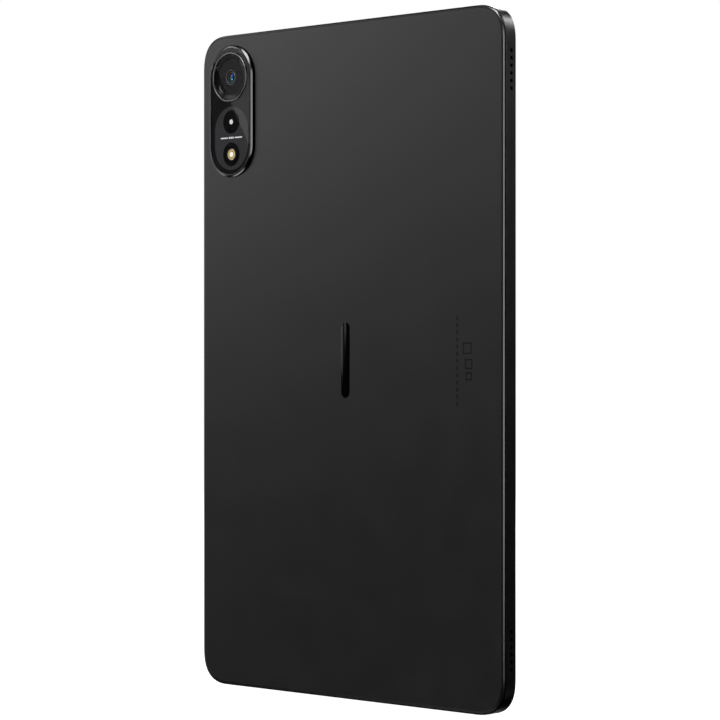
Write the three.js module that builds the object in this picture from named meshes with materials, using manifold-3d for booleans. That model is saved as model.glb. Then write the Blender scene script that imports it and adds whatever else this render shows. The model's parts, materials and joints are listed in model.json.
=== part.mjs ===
// A 12-inch tablet computer: aluminium shell, glass front, camera island, and all that it holds.
// Millimetres. +X is to the right of someone looking at the screen, +Z is up along the long
// sides, and the screen faces -Y. The origin is the bottom centre of the tablet's own box.
//
// Inside the body group, h is the height from the middle of the tablet, and d is the depth
// behind the flat rear face, so that y = -d. What stands proud of the rear face has y above 0.

import * as THREE from 'three';
import { mergeVertices } from 'three/addons/utils/BufferGeometryUtils.js';
import Module from 'manifold-3d';

const wasm = await Module();
wasm.setup();

// ---------------------------------------------------------------- driving dimensions
const bodyHeight = 278;
const bodyWidth = 173;
const bodyDepth = 7.5;
const cornerRadius = 15.6;
const cornerPower = 2.726; // exponent of the squircle corners; 2 would be a plain arc
const cornerSteps = 9;
const fit = 0.1; // clearance between pieces that lie side by side
const layerGap = 0.05; // clearance between pieces that lie on each other

// Rear cover: flat field, shallow shoulder, polished chamfer, then a step that fits in the frame
const coverThickness = 0.8;
const shoulderInset = 1.45;
const shoulderDrop = 0.155;
const chamferInset = 0.62;
const chamferDrop = 0.54;
const rimBottom = 0.58;

// Seam between rear cover and side frame, filled by a black seal
const seamBottom = 1.24;
const sealInset = 0.15;
const sealWidth = 0.95;

// Side frame
const wall = 1.5;
const lipWidth = 0.45; // metal that stands round the edge of the glass
const lipSetback = 0.45; // the lip stays this far behind the glass's front face
const ledgeInset = 2.6;
const ledgeThickness = 0.75;

// Display stack, counted back from the glass
const glassThickness = 0.75;
const glassEdge = 0.6; // inset of the glass's edge
const maskThickness = 0.05;
const adhesiveThickness = 0.08;
const panelThickness = 0.82;
const backlightThickness = 1.2;
const midPlateThickness = 0.5;
const bezel = 8.2; // from the body's edge to the picture
const panelInset = 6.5;

// Screws that hold the mid plate on the frame's lugs
const screwInset = 4.1;
const screwHeadRadius = 1.3;
const screwHeadHeight = 0.5;
const screwShankRadius = 0.6;
const lugLength = 6;
const lugReach = 6.2;
const lugThickness = 0.9;
const lowerScrewFromEnd = 79;
const middleScrewDrop = 18; // below the middle, clear of the front camera
const endScrewFromSide = 60;

// Speakers: six holes near each end of both long sides
const speakerHoleRadius = 0.75;
const speakerHolePitch = 2.966;
const speakerHoleCount = 6;
const speakerHolesFromEnd = 25.8; // middle of the row to the end of the tablet
const speakerBoxLength = 38;
const speakerBoxWidth = 9.4;
const ductWidth = 3.7;

// Socket in the bottom edge
const socketWidth = 8.94;
const socketHeight = 3.16;
const socketWall = 0.3;
const socketLength = 6.0;
const tongueWidth = 6.69;
const tongueHeight = 0.7;
const tongueLength = 4.45;

// Buttons: a cap in a slot, with a wider flange behind the wall
const buttonProud = 0.35;
const buttonHeight = 2.2;
const buttonClearance = 0.15;
const flangeMargin = 1.0;
const flangeThickness = 0.5;
const flangeLip = 0.4; // the flange is this much taller than the cap
const powerLength = 13;
const powerFromSide = 48.5;
const powerTravel = 0.3;
const rockerLength = 22;
const rockerFromEnd = 71;
const rockerTilt = 1.2; // degrees each way
const rockerFlangeGap = 0.35;
const rockerSwitchSpacing = 15;

// Card tray in the side edge
const trayFromEnd = 98;
const trayWidth = 12;
const trayLength = 24;
const trayThickness = 0.9;
const trayHeadLength = 16;
const trayHeadHeight = 2.3;
const trayBoardGap = 0.28; // from the tray to the main board in front of it

// Electronics
const boardThickness = 0.8;
const boardFromEnd = 14;
const boardHeight = 88;
const boardArmMargin = 3; // the board's arm ends this far above the volume key
const boardLeftMargin = 14;
const boardHoleInset = 4;
const boardHoleRadius = 1.1;
const shieldSheet = 0.2;
const screwCrossWidth = 0.28;
const screwCrossLength = 1.5;
const screwCrossDepth = 0.25;
const screwHeadChamfer = 0.1;
const batteryFromSide = 18.5;
const batteryFromBottom = 38;
const batterySpacing = 5.2;
const packGap = 6; // from the cells to the main board
const usbBoardLength = 44;
const usbBoardHeight = 15;
const ribbonThickness = 0.15;
const displayRibbonWidth = 26;
const ribbonFromMic = 38; // from the top microphone to the display ribbon's middle
const ribbonTurn = 1.6; // the fold's height above the panel's edge
const ribbonLanding = 6;
const linkRibbonWidth = 3.8;
const linkRibbonOverlap = 4;
const antennaFromSide = [30, 62]; // near and far end, from the left side
const antennaThickness = 1.2;

// Microphone holes
const micHoleRadius = 0.45;
const microphoneWidth = 3.5;
const microphoneHeight = 2.8;
const topMicFromSide = 98.5;
const bottomMicFromSide = 62;

// Front camera, in the middle of the right-hand bezel
const frontCameraLength = 6.4;
const frontCameraInset = 4.3;
const frontLensRadius = 1.6;

// Camera island on the rear
const islandWidth = 27;
const islandHeight = 56.4;
const islandFromSide = 19.3; // body's side to the island's middle
const islandFromTop = 32.8;
const islandWall = 1.55;
const islandTop = 2.1;
const islandRim = 1.05;
const collarInset = 1.3;
const collarWidth = 0.9;
const lensFromIslandTop = 13.7;
const trimRadius = 10.65;
const trimInnerRadius = 9.9;
const trimTop = 2.5;
const maskRadius = 7.6;
const barrelRadius = 3.3;
const frontElementRadius = 1.9;
const inlayWidth = 20.5;
const inlayHeight = 27.15;
const inlayFromIslandBottom = 16.7;
const discRadius = 5.03;
const indicatorFromIslandBottom = 23.7;
const flashFromIslandBottom = 9.8;
const ledRadius = 2.35;
const islandEndSteps = 12;
const roundSteps = 28;

// Badge: a plain glossy capsule let into the middle of the rear cover
const badgeHeight = 31.2;
const badgeWidth = 5;
const badgeDepth = 0.35;

// ---------------------------------------------------------------- worked-out positions
const side = bodyWidth / 2;
const end = bodyHeight / 2;
const rearY = (bodyDepth - trimTop) / 2;
const glassRear = bodyDepth - glassThickness;
const maskRear = glassRear - layerGap / 2 - maskThickness;
const adhesiveRear = maskRear - layerGap / 2 - adhesiveThickness;
const ledgeFront = adhesiveRear - layerGap / 2;
const panelFront = maskRear - layerGap / 2;
const panelRear = panelFront - panelThickness;
const backlightFront = panelRear - layerGap;
const backlightRear = backlightFront - backlightThickness;
const plateFront = backlightRear - 2 * layerGap;
const plateRear = plateFront - midPlateThickness;
const lipFront = bodyDepth - lipSetback;
const edgePlane = (seamBottom + bodyDepth) / 2; // depth of the holes and buttons in the edges
const bayRear = coverThickness + 0.15;
const bayFront = plateRear - fit;
const boardRear = bayFront - boardThickness;
const innerSide = side - wall;
const innerEnd = end - wall;
const boardTop = end - boardFromEnd;
const boardBottom = boardTop - boardHeight;
const boardSide = side - panelInset;
const trayRearDepth = boardRear - trayBoardGap - trayThickness;
const islandX = side - islandFromSide;
const islandH = end - islandFromTop;
const lensH = islandHeight / 2 - lensFromIslandTop;
const inlayH = -islandHeight / 2 + inlayFromIslandBottom;
const indicatorH = -islandHeight / 2 + indicatorFromIslandBottom;
const flashH = -islandHeight / 2 + flashFromIslandBottom;
const speakerHolesH = end - speakerHolesFromEnd;
const speakerHoleSpan = (speakerHoleCount - 1) * speakerHolePitch;
const powerX = side - powerFromSide;
const rockerH = end - rockerFromEnd;
const trayH = end - trayFromEnd;
const topMicX = side - topMicFromSide;
const ribbonX = topMicX - ribbonFromMic;
const bottomMicX = side - bottomMicFromSide;
const frontCameraX = side - frontCameraInset;

// ---------------------------------------------------------------- solids and outlines
function solidOf(geometry) {
  const bare = geometry.clone();
  bare.deleteAttribute('normal');
  bare.deleteAttribute('uv');
  const merged = mergeVertices(bare, 1e-5);
  return new wasm.Manifold(new wasm.Mesh({
    numProp: 3,
    vertProperties: new Float32Array(merged.attributes.position.array),
    triVerts: new Uint32Array(merged.index.array),
  }));
}

function geometryOf(solid) {
  const { vertProperties, triVerts } = solid.getMesh();
  const geometry = new THREE.BufferGeometry();
  geometry.setAttribute('position', new THREE.BufferAttribute(vertProperties, 3));
  geometry.setIndex(new THREE.BufferAttribute(triVerts, 1));
  return geometry;
}

// The first geometry, joined with those of add and cut by those of take.
function shaped(first, { add = [], take = [] }) {
  let solid = solidOf(first);
  for (const geometry of add) solid = solid.add(solidOf(geometry));
  for (const geometry of take) solid = solid.subtract(solidOf(geometry));
  return geometryOf(solid);
}

// The tablet's rounded outline, moved inwards by inset.
function bodyOutline(inset) {
  const radius = cornerRadius - inset;
  const cx = side - cornerRadius;
  const cz = end - cornerRadius;
  const points = [];
  const quadrants = [[1, 1, false], [-1, 1, true], [-1, -1, false], [1, -1, true]];
  for (const [signX, signZ, reversed] of quadrants) {
    for (let i = 0; i <= cornerSteps; i++) {
      const step = reversed ? cornerSteps - i : i;
      const angle = (step / cornerSteps) * (Math.PI / 2);
      const across = radius * Math.max(Math.cos(angle), 0) ** (2 / cornerPower);
      const up = radius * Math.sin(angle) ** (2 / cornerPower);
      points.push(new THREE.Vector2(signX * (cx + across), signZ * (cz + up)));
    }
  }
  return points;
}

// A rectangle with round corners; with the largest radius it is a capsule.
function roundedOutline(width, height, radius, steps = 6) {
  const points = [];
  const cx = width / 2 - radius;
  const cz = height / 2 - radius;
  const centres = [[cx, cz], [-cx, cz], [-cx, -cz], [cx, -cz]];
  centres.forEach(([x, z], quarter) => {
    for (let i = 0; i <= steps; i++) {
      const angle = (quarter + i / steps) * (Math.PI / 2);
      points.push(new THREE.Vector2(x + radius * Math.cos(angle), z + radius * Math.sin(angle)));
    }
  });
  return points.filter((p, i) => p.distanceTo(points[(i + 1) % points.length]) > 1e-6);
}

const capsule = (width, height, steps) => {
  return roundedOutline(width, height, Math.min(width, height) / 2, steps);
};

// An outline pushed through from one depth to another, with any holes.
function slab(outline, rearDepth, frontDepth, holes = []) {
  const shape = new THREE.Shape(outline);
  for (const hole of holes) shape.holes.push(new THREE.Path(hole));
  const geometry = new THREE.ExtrudeGeometry(shape, {
    depth: frontDepth - rearDepth,
    bevelEnabled: false,
    curveSegments: 1,
  });
  geometry.rotateX(Math.PI / 2);
  geometry.translate(0, -rearDepth, 0);
  return geometry;
}

// A solid through a stack of outlines of equal length, each at its own depth, rear to front.
function loft(rings) {
  const count = rings[0].outline.length;
  const positions = [];
  for (const { outline, depth } of rings) {
    for (const point of outline) positions.push(point.x, -depth, point.y);
  }
  const faces = [];
  for (let ring = 0; ring < rings.length - 1; ring++) {
    for (let i = 0; i < count; i++) {
      const a = ring * count + i;
      const b = ring * count + ((i + 1) % count);
      faces.push(a, b, a + count, b, b + count, a + count);
    }
  }
  const last = (rings.length - 1) * count;
  for (const [a, b, c] of THREE.ShapeUtils.triangulateShape(rings[0].outline, [])) {
    faces.push(c, b, a);
  }
  for (const [a, b, c] of THREE.ShapeUtils.triangulateShape(rings.at(-1).outline, [])) {
    faces.push(last + a, last + b, last + c);
  }
  const geometry = new THREE.BufferGeometry();
  geometry.setAttribute('position', new THREE.Float32BufferAttribute(positions, 3));
  geometry.setIndex(faces);
  return geometry;
}

const bodyLoft = (profile) => {
  return loft(profile.map(([inset, depth]) => ({ outline: bodyOutline(inset), depth })));
};

const islandOutline = (inset) => {
  return capsule(islandWidth - 2 * inset, islandHeight - 2 * inset, islandEndSteps);
};

// A straight-sided block between two values of x, depth and height.
function block([x0, x1], [d0, d1], [h0, h1]) {
  const geometry = new THREE.BoxGeometry(x1 - x0, d1 - d0, h1 - h0);
  geometry.translate((x0 + x1) / 2, -(d0 + d1) / 2, (h0 + h1) / 2);
  return geometry;
}

// A turned piece about the rear-facing axis, from [radius, height above the rear face] points.
function turned(profile, steps = roundSteps) {
  return new THREE.LatheGeometry(profile.map(([r, y]) => new THREE.Vector2(r, y)), steps);
}

// A round bar between two depths, at a place given by x and height.
function depthBar(radius, rearDepth, frontDepth, x = 0, h = 0, steps = 20) {
  const geometry = new THREE.CylinderGeometry(radius, radius, frontDepth - rearDepth, steps);
  geometry.translate(x, -(rearDepth + frontDepth) / 2, h);
  return geometry;
}

// A round cutter along X or Z through the edge wall.
function edgeBar(radius, axis, x, h, length = 3 * wall) {
  const geometry = new THREE.CylinderGeometry(radius, radius, length, 10);
  if (axis === 'x') geometry.rotateZ(Math.PI / 2);
  else geometry.rotateX(Math.PI / 2);
  geometry.translate(x, -edgePlane, h);
  return geometry;
}

// A capsule bar through the top or bottom wall: length along X, height along Y.
function endCapsule(length, height, h0, h1, x, steps = 6) {
  const shape = new THREE.Shape(capsule(length, height, steps));
  const geometry = new THREE.ExtrudeGeometry(shape, { depth: h1 - h0, bevelEnabled: false });
  geometry.translate(x, -edgePlane, h0);
  return geometry;
}

// The same through a side wall: length along Z, height along Y.
function sideCapsule(length, height, x0, x1, h, depth = edgePlane) {
  const shape = new THREE.Shape(capsule(length, height));
  const geometry = new THREE.ExtrudeGeometry(shape, { depth: x1 - x0, bevelEnabled: false });
  geometry.rotateY(-Math.PI / 2);
  geometry.translate(x1, -depth, h);
  return geometry;
}

// ---------------------------------------------------------------- materials
const finish = (color, roughness, metalness) => ({ color, roughness, metalness });
const anodised = finish(0x3b3b3c, 0.42, 0.85);
const satinMetal = finish(0x2c2c2d, 0.3, 0.9);
const polishedMetal = finish(0x4a4a4b, 0.16, 1.0);
const blackGlass = finish(0x0a0a0b, 0.06, 0.0);
const blackPlastic = finish(0x121213, 0.5, 0.0);
const greyPlastic = finish(0x3a3b3c, 0.45, 0.0);
const board = finish(0x16402b, 0.55, 0.0);
const chip = finish(0x1a1a1c, 0.4, 0.0);
const tin = finish(0xb9bcc0, 0.3, 1.0);
const steel = finish(0x8d9094, 0.35, 1.0);
const foil = finish(0x2a2b2e, 0.35, 0.2);
const copperFlex = finish(0x8a4f1d, 0.45, 0.1);
const castAlloy = finish(0x77797c, 0.6, 0.8);
const whiteFilm = finish(0xd8dadb, 0.5, 0.0);

function piece(name, geometry, { color, roughness, metalness }) {
  geometry.computeVertexNormals();
  const material = new THREE.MeshStandardMaterial({ color, roughness, metalness });
  const mesh = new THREE.Mesh(geometry, material);
  mesh.name = name;
  return mesh;
}

// ---------------------------------------------------------------- shell
function rearCover() {
  const plate = bodyLoft([
    [shoulderInset, 0],
    [chamferInset, shoulderDrop],
    [0, chamferDrop],
    [0, rimBottom],
    [sealInset + sealWidth + fit, rimBottom],
    [sealInset + sealWidth + fit, coverThickness],
  ]);
  const opening = slab(islandOutline(collarInset - fit), -1, coverThickness + 1);
  opening.translate(islandX, 0, islandH);
  const recess = slab(capsule(badgeWidth + fit, badgeHeight + fit, 10), -1, badgeDepth);
  return piece('rear_cover', shaped(plate, { take: [opening, recess] }), anodised);
}

function rearBadge() {
  const outline = capsule(badgeWidth - fit, badgeHeight - fit, 10);
  return piece('rear_badge', slab(outline, 0, badgeDepth - layerGap), blackGlass);
}

function frameSeal() {
  const outer = bodyOutline(sealInset);
  const inner = bodyOutline(sealInset + sealWidth);
  const ring = slab(outer, rimBottom + layerGap, seamBottom - layerGap, [inner]);
  return piece('frame_seal', ring, blackPlastic);
}

const screwPlaces = [
  ...[-1, 1].map((s) => [s * (side - screwInset), -middleScrewDrop]),
  ...[-1, 1].map((s) => [s * (side - screwInset), -(end - lowerScrewFromEnd)]),
  ...[-1, 1].map((s) => [-(side - endScrewFromSide), s * (end - screwInset)]),
];

// A block of the given length that reaches inwards from the wall at a screw.
function atScrew([x, h], length, reach, depths) {
  const onSide = side - Math.abs(x) < end - Math.abs(h);
  const from = wall / 2;
  if (onSide) {
    const s = Math.sign(x);
    const span = [s * (side - reach), s * (side - from)].sort((a, b) => a - b);
    return block(span, depths, [h - length / 2, h + length / 2]);
  }
  const s = Math.sign(h);
  const span = [s * (end - reach), s * (end - from)].sort((a, b) => a - b);
  return block([x - length / 2, x + length / 2], depths, span);
}

function speakerHoles() {
  const cutters = [];
  for (const sx of [1, -1]) {
    for (const sz of [1, -1]) {
      for (let i = 0; i < speakerHoleCount; i++) {
        const h = sz * speakerHolesH + (i - (speakerHoleCount - 1) / 2) * speakerHolePitch;
        cutters.push(edgeBar(speakerHoleRadius, 'x', sx * side, h));
      }
    }
  }
  return cutters;
}

function sideFrame() {
  const band = bodyLoft([
    [0.1, seamBottom],
    [0, seamBottom + 0.1],
    [0, lipFront - 0.18],
    [0.18, lipFront],
  ]);
  const bay = slab(bodyOutline(wall), seamBottom - 1, ledgeFront - ledgeThickness);
  const window = slab(bodyOutline(ledgeInset), seamBottom - 1, bodyDepth);
  const pocket = slab(bodyOutline(lipWidth), ledgeFront, bodyDepth);
  const lugDepths = [plateFront + layerGap, plateFront + layerGap + lugThickness];
  const lugs = screwPlaces.map((place) => atScrew(place, lugLength, lugReach, lugDepths));
  const screwHoles = screwPlaces.map(([x, h]) => {
    return depthBar(screwShankRadius + fit, plateRear, bodyDepth - glassThickness, x, h, 12);
  });
  const grow = 2 * buttonClearance;
  const powerSlot = endCapsule(powerLength + grow, buttonHeight + grow, end - 3, end + 1, powerX);
  const rockerSlot = sideCapsule(
    rockerLength + grow, buttonHeight + grow, side - 3, side + 1, rockerH);
  const socketSlot = endCapsule(
    socketWidth + 2 * fit, socketHeight + 2 * fit, -end - 1, -end + 3, 0, 8);
  const traySlot = sideCapsule(
    trayHeadLength + 2 * fit, trayHeadHeight + 2 * fit, side - 3, side + 1, trayH,
    trayRearDepth + trayHeadHeight / 2);
  const cameraRelief = block(
    [side - lugReach, innerSide], [plateFront, ledgeFront + 0.2],
    [-frontCameraLength, frontCameraLength]);
  const microphones = [
    edgeBar(micHoleRadius, 'z', topMicX, end),
    edgeBar(micHoleRadius, 'z', bottomMicX, -end),
  ];
  const hollow = shaped(band, { take: [bay, window, pocket] });
  return piece('side_frame', shaped(hollow, {
    add: lugs,
    take: [...screwHoles, ...speakerHoles(), powerSlot, rockerSlot, socketSlot, traySlot,
      cameraRelief, ...microphones],
  }), satinMetal);
}

// ---------------------------------------------------------------- display
function displayPieces() {
  const glass = bodyLoft([
    [glassEdge, glassRear],
    [glassEdge, bodyDepth - 0.35],
    [glassEdge + 0.2, bodyDepth - 0.12],
    [glassEdge + 0.65, bodyDepth],
  ]);
  const picture = roundedOutline(bodyWidth - 2 * bezel, bodyHeight - 2 * bezel, 3);
  const cameraHole = new THREE.Path().absarc(
    frontCameraX, 0, frontLensRadius, 0, 2 * Math.PI).getPoints(5).slice(0, -1);
  const mask = slab(bodyOutline(glassEdge + fit), maskRear, maskRear + maskThickness,
    [picture, cameraHole]);
  const adhesive = slab(bodyOutline(glassEdge + fit), adhesiveRear,
    adhesiveRear + adhesiveThickness, [bodyOutline(ledgeInset - fit)]);
  const panelOutline = roundedOutline(bodyWidth - 2 * panelInset, bodyHeight - 2 * panelInset, 1, 2);
  return [
    piece('cover_glass', glass, blackGlass),
    piece('bezel_mask', mask, blackPlastic),
    piece('display_adhesive', adhesive, greyPlastic),
    piece('display_panel', slab(panelOutline, panelRear, panelFront), blackGlass),
    piece('backlight_unit', slab(panelOutline, backlightRear, backlightFront), whiteFilm),
    displayRibbon(),
  ];
}

// The flat ribbon that leaves the panel's top edge, passes the mid plate and lands on the board.
function displayRibbon() {
  const thickness = ribbonThickness;
  const start = end - panelInset + fit;
  const turn = start + ribbonTurn;
  const deep = panelRear + panelThickness / 2;
  const land = boardRear - layerGap - thickness;
  const landing = boardTop - ribbonLanding;
  const profile = [
    [deep, start], [deep, turn], [land, turn], [land, landing],
    [land + thickness, landing], [land + thickness, turn - thickness],
    [deep - thickness, turn - thickness], [deep - thickness, start],
  ];
  const shape = new THREE.Shape(profile.map(([d, h]) => new THREE.Vector2(h, d)));
  const geometry = new THREE.ExtrudeGeometry(shape, {
    depth: displayRibbonWidth, bevelEnabled: false,
  });
  // The shape's X becomes the height, its Y the depth, and the width runs along X.
  const basis = new THREE.Matrix4().makeBasis(
    new THREE.Vector3(0, 0, 1), new THREE.Vector3(0, -1, 0), new THREE.Vector3(1, 0, 0));
  geometry.applyMatrix4(basis);
  geometry.translate(ribbonX - displayRibbonWidth / 2, 0, 0);
  return piece('display_ribbon', geometry, copperFlex);
}

// ---------------------------------------------------------------- chassis
const notch = (x, h, width, height) => {
  return block([x - width / 2, x + width / 2], [plateRear - 1, plateFront + 1],
    [h - height / 2, h + height / 2]);
};

function midPlate() {
  const plate = slab(bodyOutline(wall + 2 * fit), plateRear, plateFront);
  const holes = screwPlaces.map(([x, h]) => {
    return depthBar(screwShankRadius + 2 * fit, plateRear - 1, plateFront + 1, x, h, 12);
  });
  const notches = [
    notch(powerX, end, powerLength + 4 * flangeMargin, 2 * panelInset),
    notch(side, rockerH, 2 * panelInset, rockerLength + 4 * flangeMargin),
    notch(side, trayH, 2 * panelInset, trayHeadLength + 2 * flangeMargin),
    notch(side, 0, 2 * panelInset, frontCameraLength + 2),
    notch(0, -end, socketWidth + 2, 2 * (socketLength + 1)),
    notch(topMicX, end, microphoneWidth + 2.5, 2 * panelInset),
    notch(bottomMicX, -end, microphoneWidth + 2.5, 2 * panelInset),
    notch(ribbonX, end, displayRibbonWidth + 4, 2 * panelInset),
  ];
  for (const sx of [1, -1]) {
    for (const sz of [1, -1]) {
      notches.push(notch(sx * side, sz * speakerHolesH, 2 * (wall + ductWidth + 4 * fit),
        speakerHoleSpan + 5));
    }
  }
  return piece('mid_plate', shaped(plate, { take: [...holes, ...notches] }), castAlloy);
}

function frameScrews() {
  const top = -plateRear + layerGap;
  const bottom = -plateFront - layerGap - lugThickness;
  const shoulder = top + screwHeadHeight - screwHeadChamfer;
  return screwPlaces.map(([x, h], index) => {
    const body = turned([
      [0, bottom], [screwShankRadius, bottom], [screwShankRadius, top],
      [screwHeadRadius, top], [screwHeadRadius, shoulder],
      [screwHeadRadius - screwHeadChamfer, top + screwHeadHeight], [0, top + screwHeadHeight],
    ], 12);
    const crossTop = [-(top + screwHeadHeight + 1), -(top + screwHeadHeight - screwCrossDepth)];
    const long = [-screwCrossLength / 2, screwCrossLength / 2];
    const narrow = [-screwCrossWidth / 2, screwCrossWidth / 2];
    const cross = [block(long, crossTop, narrow), block(narrow, crossTop, long)];
    const screw = piece(`plate_screw_${index + 1}`, shaped(body, { take: cross }), steel);
    screw.position.set(x, 0, h);
    return screw;
  });
}

// ---------------------------------------------------------------- power and boards
function powerPack() {
  const bottom = -end + batteryFromBottom;
  const top = boardBottom - packGap;
  const cellWidth = side - batteryFromSide - batterySpacing / 2;
  const cells = [['battery_cell_left', -1], ['battery_cell_right', 1]].map(([name, s]) => {
    const outline = roundedOutline(cellWidth, top - bottom, 3, 4);
    const cell = piece(name, slab(outline, bayRear, bayFront), foil);
    cell.position.set(s * (batterySpacing / 2 + cellWidth / 2), 0, (top + bottom) / 2);
    return cell;
  });
  const strip = block([-cellWidth / 2, cellWidth / 2], [boardRear, bayFront],
    [top + 3 * fit, boardBottom - 3 * fit]);
  return [...cells, piece('battery_board', strip, board)];
}

function mainBoard() {
  const armX = islandX - islandWidth / 2;
  const left = -boardSide + boardLeftMargin;
  const armTop = rockerH + rockerLength / 2 + boardArmMargin;
  const outline = [
    [left, boardBottom], [boardSide, boardBottom], [boardSide, armTop],
    [armX, armTop], [armX, boardTop], [left, boardTop],
  ].map(([x, h]) => new THREE.Vector2(x, h));
  const hole = boardHoleInset;
  const holes = [
    [left + hole, boardBottom + hole], [left + hole, boardTop - hole], [armX - hole, boardTop - hole],
  ];
  const rounds = holes.map(([x, h]) => {
    return new THREE.Path().absarc(x, h, boardHoleRadius, 0, 2 * Math.PI).getPoints(8).slice(0, -1);
  });
  const bare = slab(outline, boardRear, bayFront, rounds);
  const middle = (left + armX) / 2;
  const shieldSpan = (armX - left) / 2 - 8;
  const canMain = [left + 6, left + 6 + shieldSpan];
  const canPower = [middle + 3, middle + 3 + shieldSpan];
  const canHeights = [boardBottom + 34, boardTop - 8];
  const centre = (canHeights[0] + canHeights[1]) / 2;
  return [
    piece('main_board', bare, board),
    piece('shield_can_main', shieldCan(canMain, canHeights), tin),
    piece('shield_can_power', shieldCan(canPower, canHeights), tin),
    piece('processor', chipBlock((canMain[0] + canMain[1]) / 2 - 8, centre, 14, 14), chip),
    piece('memory_chip', chipBlock((canMain[0] + canMain[1]) / 2 + 8, centre, 10, 13), chip),
    piece('storage_chip', chipBlock((canPower[0] + canPower[1]) / 2, centre, 11.5, 13), chip),
    piece('graphite_sheet', slab(
      graphiteOutline(left + 4, armX - 2), coverThickness + layerGap, bayRear - layerGap), foil),
  ];
}

const graphiteOutline = (x0, x1) => {
  const low = boardBottom + 30;
  return [[x0, low], [x1, low], [x1, boardTop - 4], [x0, boardTop - 4]]
    .map(([x, h]) => new THREE.Vector2(x, h));
};

// A pressed tin lid, open towards the board.
function shieldCan([x0, x1], [h0, h1]) {
  const sheet = shieldSheet;
  const rear = bayRear + layerGap;
  const front = boardRear - layerGap;
  return shaped(block([x0, x1], [rear, front], [h0, h1]), {
    take: [block([x0 + sheet, x1 - sheet], [rear + sheet, front + 1], [h0 + sheet, h1 - sheet])],
  });
}

function chipBlock(x, h, width, height) {
  const rear = bayRear + layerGap + shieldSheet + 2 * fit;
  return block([x - width / 2, x + width / 2], [rear, boardRear - layerGap],
    [h - height / 2, h + height / 2]);
}

function socketPieces() {
  const mouth = -end + 0.25;
  const back = mouth + socketLength;
  const gap = socketWidth / 2 + 2 * fit;
  const low = -innerEnd + 3 * fit;
  const high = low + usbBoardHeight;
  const outline = [
    [-usbBoardLength / 2, low], [-gap, low], [-gap, back + 2 * fit], [gap, back + 2 * fit],
    [gap, low], [usbBoardLength / 2, low], [usbBoardLength / 2, high], [-usbBoardLength / 2, high],
  ].map(([x, h]) => new THREE.Vector2(x, h));
  const tube = shaped(endCapsule(socketWidth, socketHeight, mouth, back, 0, 8), {
    take: [endCapsule(socketWidth - 2 * socketWall, socketHeight - 2 * socketWall,
      mouth - 1, back - socketWall, 0, 8)],
  });
  const tongueBack = back - socketWall - layerGap;
  const tongue = block([-tongueWidth / 2, tongueWidth / 2],
    [edgePlane - tongueHeight / 2, edgePlane + tongueHeight / 2],
    [tongueBack - tongueLength, tongueBack]);
  const linkDepths = [boardRear - layerGap - ribbonThickness, boardRear - layerGap];
  const link = block([-linkRibbonWidth / 2, linkRibbonWidth / 2], linkDepths,
    [high - linkRibbonOverlap, boardBottom + linkRibbonOverlap]);
  return [
    piece('socket_board', slab(outline, boardRear, bayFront), board),
    piece('socket_shell', tube, tin),
    piece('socket_tongue', tongue, blackPlastic),
    piece('board_link_ribbon', link, copperFlex),
  ];
}

function antennaAndMicrophones() {
  const antenna = block(antennaFromSide.map((inset) => inset - side),
    [bayRear, bayRear + antennaThickness], [boardTop + 1.5, innerEnd - 1]);
  const micDepths = [edgePlane - 1.3, edgePlane + 0.7];
  const half = microphoneWidth / 2;
  const far = innerEnd - fit - microphoneHeight;
  const top = block([topMicX - half, topMicX + half], micDepths, [far, innerEnd - fit]);
  const bottom = block([bottomMicX - half, bottomMicX + half], micDepths,
    [-innerEnd + fit, -far]);
  return [
    piece('antenna', antenna, blackPlastic),
    piece('microphone_top', top, steel),
    piece('microphone_bottom', bottom, steel),
  ];
}

// ---------------------------------------------------------------- speakers
function speakers() {
  const nameOf = (sx, sz) => `speaker_${sz > 0 ? 'top' : 'bottom'}_${sx > 0 ? 'right' : 'left'}`;
  const outer = innerSide - 3 * fit;
  const ductHalf = speakerHoleSpan / 2 + 1.9;
  const boxTop = speakerHolesH + ductHalf;
  const list = [];
  for (const sx of [1, -1]) {
    for (const sz of [1, -1]) {
      const across = (near, far) => [sx * near, sx * far].sort((a, b) => a - b);
      const along = (low, high) => [sz * low, sz * high].sort((a, b) => a - b);
      const box = block(across(outer - speakerBoxWidth, outer), [bayRear, bayFront],
        along(boxTop - speakerBoxLength, boxTop));
      const duct = block(across(outer - ductWidth, outer), [bayRear + 0.5, edgePlane + 1.1],
        along(speakerHolesH - ductHalf, boxTop));
      const mouth = block(across(outer - 1, outer + 1), [edgePlane - 0.85, edgePlane + 0.85],
        along(speakerHolesH - ductHalf + 0.9, boxTop - 0.9));
      list.push(piece(nameOf(sx, sz), shaped(box, { add: [duct], take: [mouth] }), blackPlastic));
    }
  }
  return list;
}

// ---------------------------------------------------------------- buttons and card tray
function powerPieces() {
  const flangeTop = innerEnd - fit;
  const cap = endCapsule(powerLength, buttonHeight, flangeTop - flangeThickness,
    end + buttonProud, powerX);
  const flange = endCapsule(powerLength + 2 * flangeMargin, buttonHeight + flangeLip,
    flangeTop - flangeThickness, flangeTop, powerX);
  const plungerTop = flangeTop - flangeThickness - powerTravel - layerGap;
  const switchBase = end - panelInset + 3 * fit;
  const body = block([powerX - 1.8, powerX + 1.8], [edgePlane - 1, edgePlane + 1],
    [switchBase, plungerTop - 0.4]);
  const plunger = endCapsule(2, 1.2, plungerTop - 0.6, plungerTop, powerX);
  return [
    piece('power_button', shaped(cap, { add: [flange] }), satinMetal),
    piece('power_switch', shaped(body, { add: [plunger] }), steel),
  ];
}

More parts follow.
